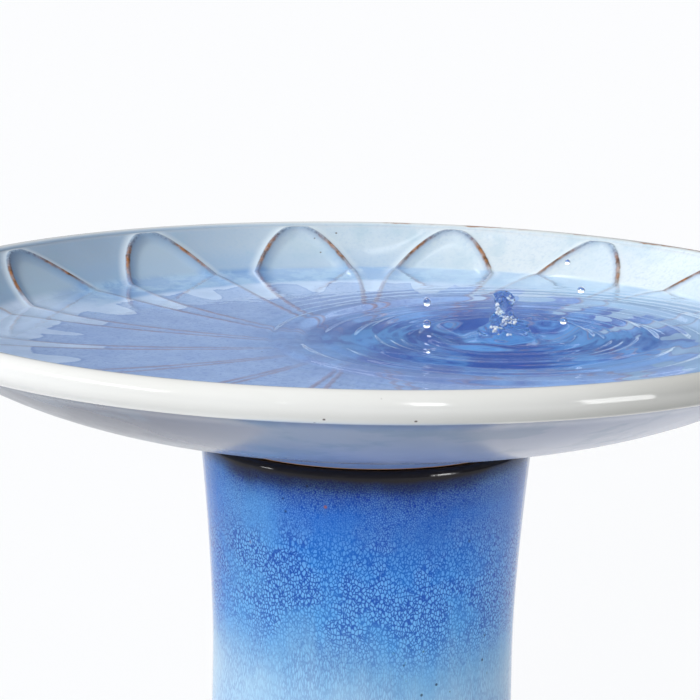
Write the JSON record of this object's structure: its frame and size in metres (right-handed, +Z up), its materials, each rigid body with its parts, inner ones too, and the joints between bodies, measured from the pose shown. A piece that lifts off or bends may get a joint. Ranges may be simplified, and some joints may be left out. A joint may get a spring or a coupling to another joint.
{
  "type": "bird bath",
  "caption": "Free-standing glazed stoneware bird bath: a wide shallow petalled basin that rests on, turns on and lifts off a hollow flared pedestal.",
  "frame": {"origin": "middle of the pedestal's resting face", "axes": "+Z up along the pedestal's axis, +X to the right seen from the front"},
  "size_m": [0.5194, 0.5198, 0.61],
  "materials": {
    "basin_glaze": "glossy pale blue glaze, white lip, breaking brown on the edges",
    "pedestal_glaze": "glossy cobalt glaze running to pale blue, near black at the shoulder",
    "ring_rubber": "matt black",
    "water": "clear water"
  },
  "bodies": {
    "pedestal": {"pedestal": "pedestal_glaze"},
    "seat_ring": {"seat_ring": "ring_rubber"},
    "basin": {"basin": "basin_glaze"}
  },
  "joints": [
    {"name": "basin_turn", "type": "hinge", "parent": "pedestal", "child": "seat_ring", "pos_m": [0, 0, 0.532], "axis": [0, 0, 1], "continuous": true},
    {"name": "basin_lift", "type": "slide", "parent": "seat_ring", "child": "basin", "axis": [0, 0, 1], "range_m": [0, 0.15]}
  ]
}
